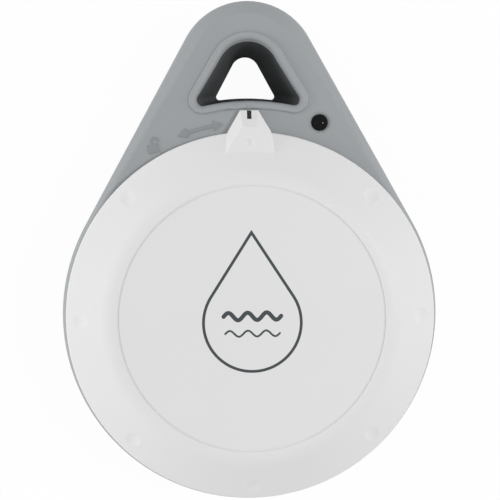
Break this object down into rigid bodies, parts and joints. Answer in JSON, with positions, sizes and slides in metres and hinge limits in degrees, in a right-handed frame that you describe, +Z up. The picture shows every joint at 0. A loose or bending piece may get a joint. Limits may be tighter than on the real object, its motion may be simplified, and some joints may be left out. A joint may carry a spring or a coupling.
{
  "type": "water leak sensor",
  "caption": "Flat teardrop-shaped water leak sensor with a hang hole in its nose, a twist-lock battery cover with a pointer, and sensing pins under its base.",
  "frame": {"origin": "centre of the bounding box on the floor plane, which the three sensing pins stand on", "axes": "+Z up out of the front face, +Y towards the nose with the hang hole, +X to the right seen from the front"},
  "size_m": [0.078, 0.1038, 0.0244],
  "materials": {
    "case_grey": "light grey moulded ABS, fine satin texture",
    "case_charcoal": "charcoal moulded ABS, fine matt texture",
    "cover_white": "white moulded ABS, satin",
    "seal_rubber": "black silicone rubber",
    "screw_steel": "zinc-plated steel",
    "pin_steel": "turned stainless steel",
    "board_green": "green solder-masked glass-epoxy board",
    "tray_black": "black moulded ABS",
    "cell_jacket": "plain metal can with a thin film jacket",
    "contact_nickel": "nickel-plated spring steel",
    "lens_smoke": "dark smoked clear plastic, polished",
    "led_white": "white light body",
    "chip_black": "black moulded epoxy",
    "can_metal": "bright drawn metal",
    "antenna_copper": "lacquered copper wire",
    "button_white": "white moulded ABS"
  },
  "bodies": {
    "case": {"rear_housing": "case_charcoal", "front_housing": "case_grey", "cover_seal": "seal_rubber", "housing_gasket": "seal_rubber", "case_screws": "screw_steel", "circuit_board": "board_green", "board_screws": "screw_steel", "battery_tray": "tray_black", "tray_screws": "screw_steel", "battery_left": "cell_jacket", "battery_right": "cell_jacket", "positive_plate": "contact_nickel", "negative_plate": "contact_nickel", "bridge_plate": "contact_nickel", "bridge_spring": "contact_nickel", "negative_spring": "contact_nickel", "led_lens": "lens_smoke", "status_led": "led_white", "pair_switch": "chip_black", "microcontroller": "chip_black", "crystal": "can_metal", "storage_capacitor": "can_metal", "radio_module": "can_metal", "antenna_wire": "antenna_copper", "pin_seal_nose": "seal_rubber", "pin_seal_left": "seal_rubber", "pin_seal_right": "seal_rubber", "sensing_pin_nose": "pin_steel", "sensing_pin_left": "pin_steel", "sensing_pin_right": "pin_steel"},
    "cover": {"twist_cover": "cover_white"},
    "button": {"pair_button": "button_white"}
  },
  "joints": [
    {"name": "cover_twist", "type": "hinge", "parent": "case", "child": "cover", "pos_m": [0, -0.01287, 0.0193], "axis": [0, 0, 1], "range_deg": [0, 30]},
    {"name": "button_press", "type": "slide", "parent": "case", "child": "button", "axis": [0, 0, -1], "range_m": [0, 0.0005], "stiffness_N_per_m": 3000, "springref_m": -0.0002}
  ]
}
